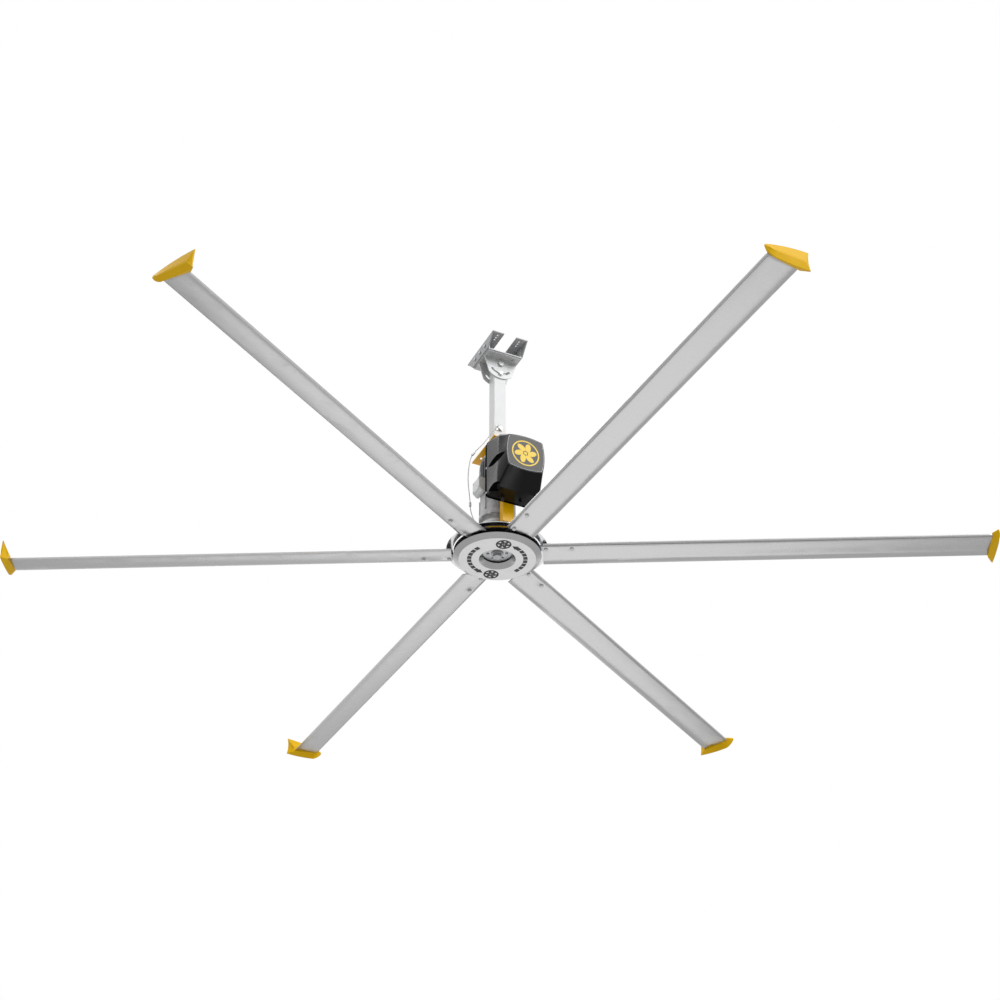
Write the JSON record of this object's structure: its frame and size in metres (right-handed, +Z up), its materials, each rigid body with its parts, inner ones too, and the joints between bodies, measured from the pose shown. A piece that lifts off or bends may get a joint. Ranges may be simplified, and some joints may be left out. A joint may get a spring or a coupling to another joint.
{
  "type": "high volume low speed fan",
  "caption": "Large ceiling fan with long hollow aluminium blades, end winglets, gearmotor, drive with cover, square downrod, safety cable and a swivelling beam mount.",
  "frame": {"origin": "centre of the plane where the two beam angles meet the roof beam", "axes": "+Z up along the fan's axis, -Y towards the drive cover, +X to the right seen from there"},
  "size_m": [4.3904, 4.8542, 1.3054],
  "materials": {
    "galvanised_steel": "satin zinc coating",
    "downrod_paint": "satin paint",
    "frame_paint": "satin powder coat",
    "winglet_plastic": "moulded satin gloss",
    "airfoil_aluminium": "anodised, satin",
    "hub_cover_aluminium": "spun, satin",
    "hub_aluminium": "machined",
    "ring_steel": "polished",
    "bolt_steel": "zinc plated",
    "gearcase_casting": "sand cast, painted grey",
    "motor_casting": "die cast, painted grey",
    "gear_steel": "ground",
    "core_iron": "laminated, varnished",
    "seal_rubber": "matt",
    "box_plastic": "moulded",
    "gland_plastic": "moulded",
    "lead_rubber": "matt jacket",
    "cable_steel": "stranded, galvanised",
    "back_plate_steel": "black powder coat",
    "drive_plastic": "moulded",
    "cover_plastic": "vacuum formed, glossy",
    "panel_plastic": "fine texture"
  },
  "bodies": {
    "mount": {"beam_angle_left": "galvanised_steel", "beam_angle_right": "galvanised_steel", "saddle_channel": "galvanised_steel", "swivel_plate_front": "galvanised_steel", "swivel_plate_rear": "galvanised_steel", "mount_bolts": "bolt_steel", "pivot_bolt": "bolt_steel"},
    "hanging": {"downrod": "downrod_paint", "lock_bolt": "bolt_steel", "frame_post": "downrod_paint", "frame_top_plate": "frame_paint", "frame_leg_front": "frame_paint", "frame_leg_rear": "frame_paint", "frame_base_plate": "frame_paint", "frame_bolts": "bolt_steel", "gearcase_lower": "gearcase_casting", "gearcase_upper": "gearcase_casting", "gearmotor_bolts": "bolt_steel", "motor_housing": "motor_casting", "motor_end_cover": "motor_casting", "stator": "core_iron", "motor_bearings": "gear_steel", "gearbox_bearings": "gear_steel", "shaft_seal": "seal_rubber", "junction_box": "box_plastic", "junction_box_lid": "box_plastic", "cable_glands": "gland_plastic", "motor_lead": "lead_rubber", "drive_back_plate": "back_plate_steel", "drive_unit": "drive_plastic", "drive_cover": "cover_plastic", "cover_screws": "bolt_steel", "cover_front_panel": "panel_plastic", "safety_cable": "cable_steel", "cable_fittings": "cable_steel"},
    "motor_rotor": {"motor_shaft": "gear_steel", "rotor_core": "core_iron"},
    "layshaft": {"layshaft": "gear_steel"},
    "rotor": {"output_gear": "gear_steel", "output_shaft": "gear_steel", "hub": "hub_aluminium", "hub_bolts": "bolt_steel", "centre_bolt": "bolt_steel", "hub_struts": "hub_aluminium", "airfoil_bolts": "bolt_steel", "airfoil_retainer_ring": "ring_steel", "hub_cover": "hub_cover_aluminium", "airfoil_1": "airfoil_aluminium", "airfoil_2": "airfoil_aluminium", "airfoil_3": "airfoil_aluminium", "airfoil_4": "airfoil_aluminium", "airfoil_5": "airfoil_aluminium", "airfoil_6": "airfoil_aluminium", "winglet_1": "winglet_plastic", "winglet_2": "winglet_plastic", "winglet_3": "winglet_plastic", "winglet_4": "winglet_plastic", "winglet_5": "winglet_plastic", "winglet_6": "winglet_plastic"}
  },
  "joints": [
    {"name": "rod_swivel", "type": "hinge", "parent": "mount", "child": "hanging", "pos_m": [0, 0, -0.108], "axis": [0, 1, 0], "range_deg": [-40, 40]},
    {"name": "fan_spin", "type": "hinge", "parent": "hanging", "child": "rotor", "pos_m": [0, 0, -1.2], "axis": [0, 0, 1], "continuous": true},
    {"name": "layshaft_spin", "type": "hinge", "parent": "hanging", "child": "layshaft", "pos_m": [0, 0.04, -1.02], "axis": [0, 0, 1], "continuous": true},
    {"name": "motor_spin", "type": "hinge", "parent": "hanging", "child": "motor_rotor", "pos_m": [0, 0, -0.82], "axis": [0, 0, 1], "continuous": true}
  ],
  "couplings": [
    {"joint": "layshaft_spin", "follows": "fan_spin", "ratio": -3.7059},
    {"joint": "motor_spin", "follows": "fan_spin", "ratio": 13.734}
  ]
}
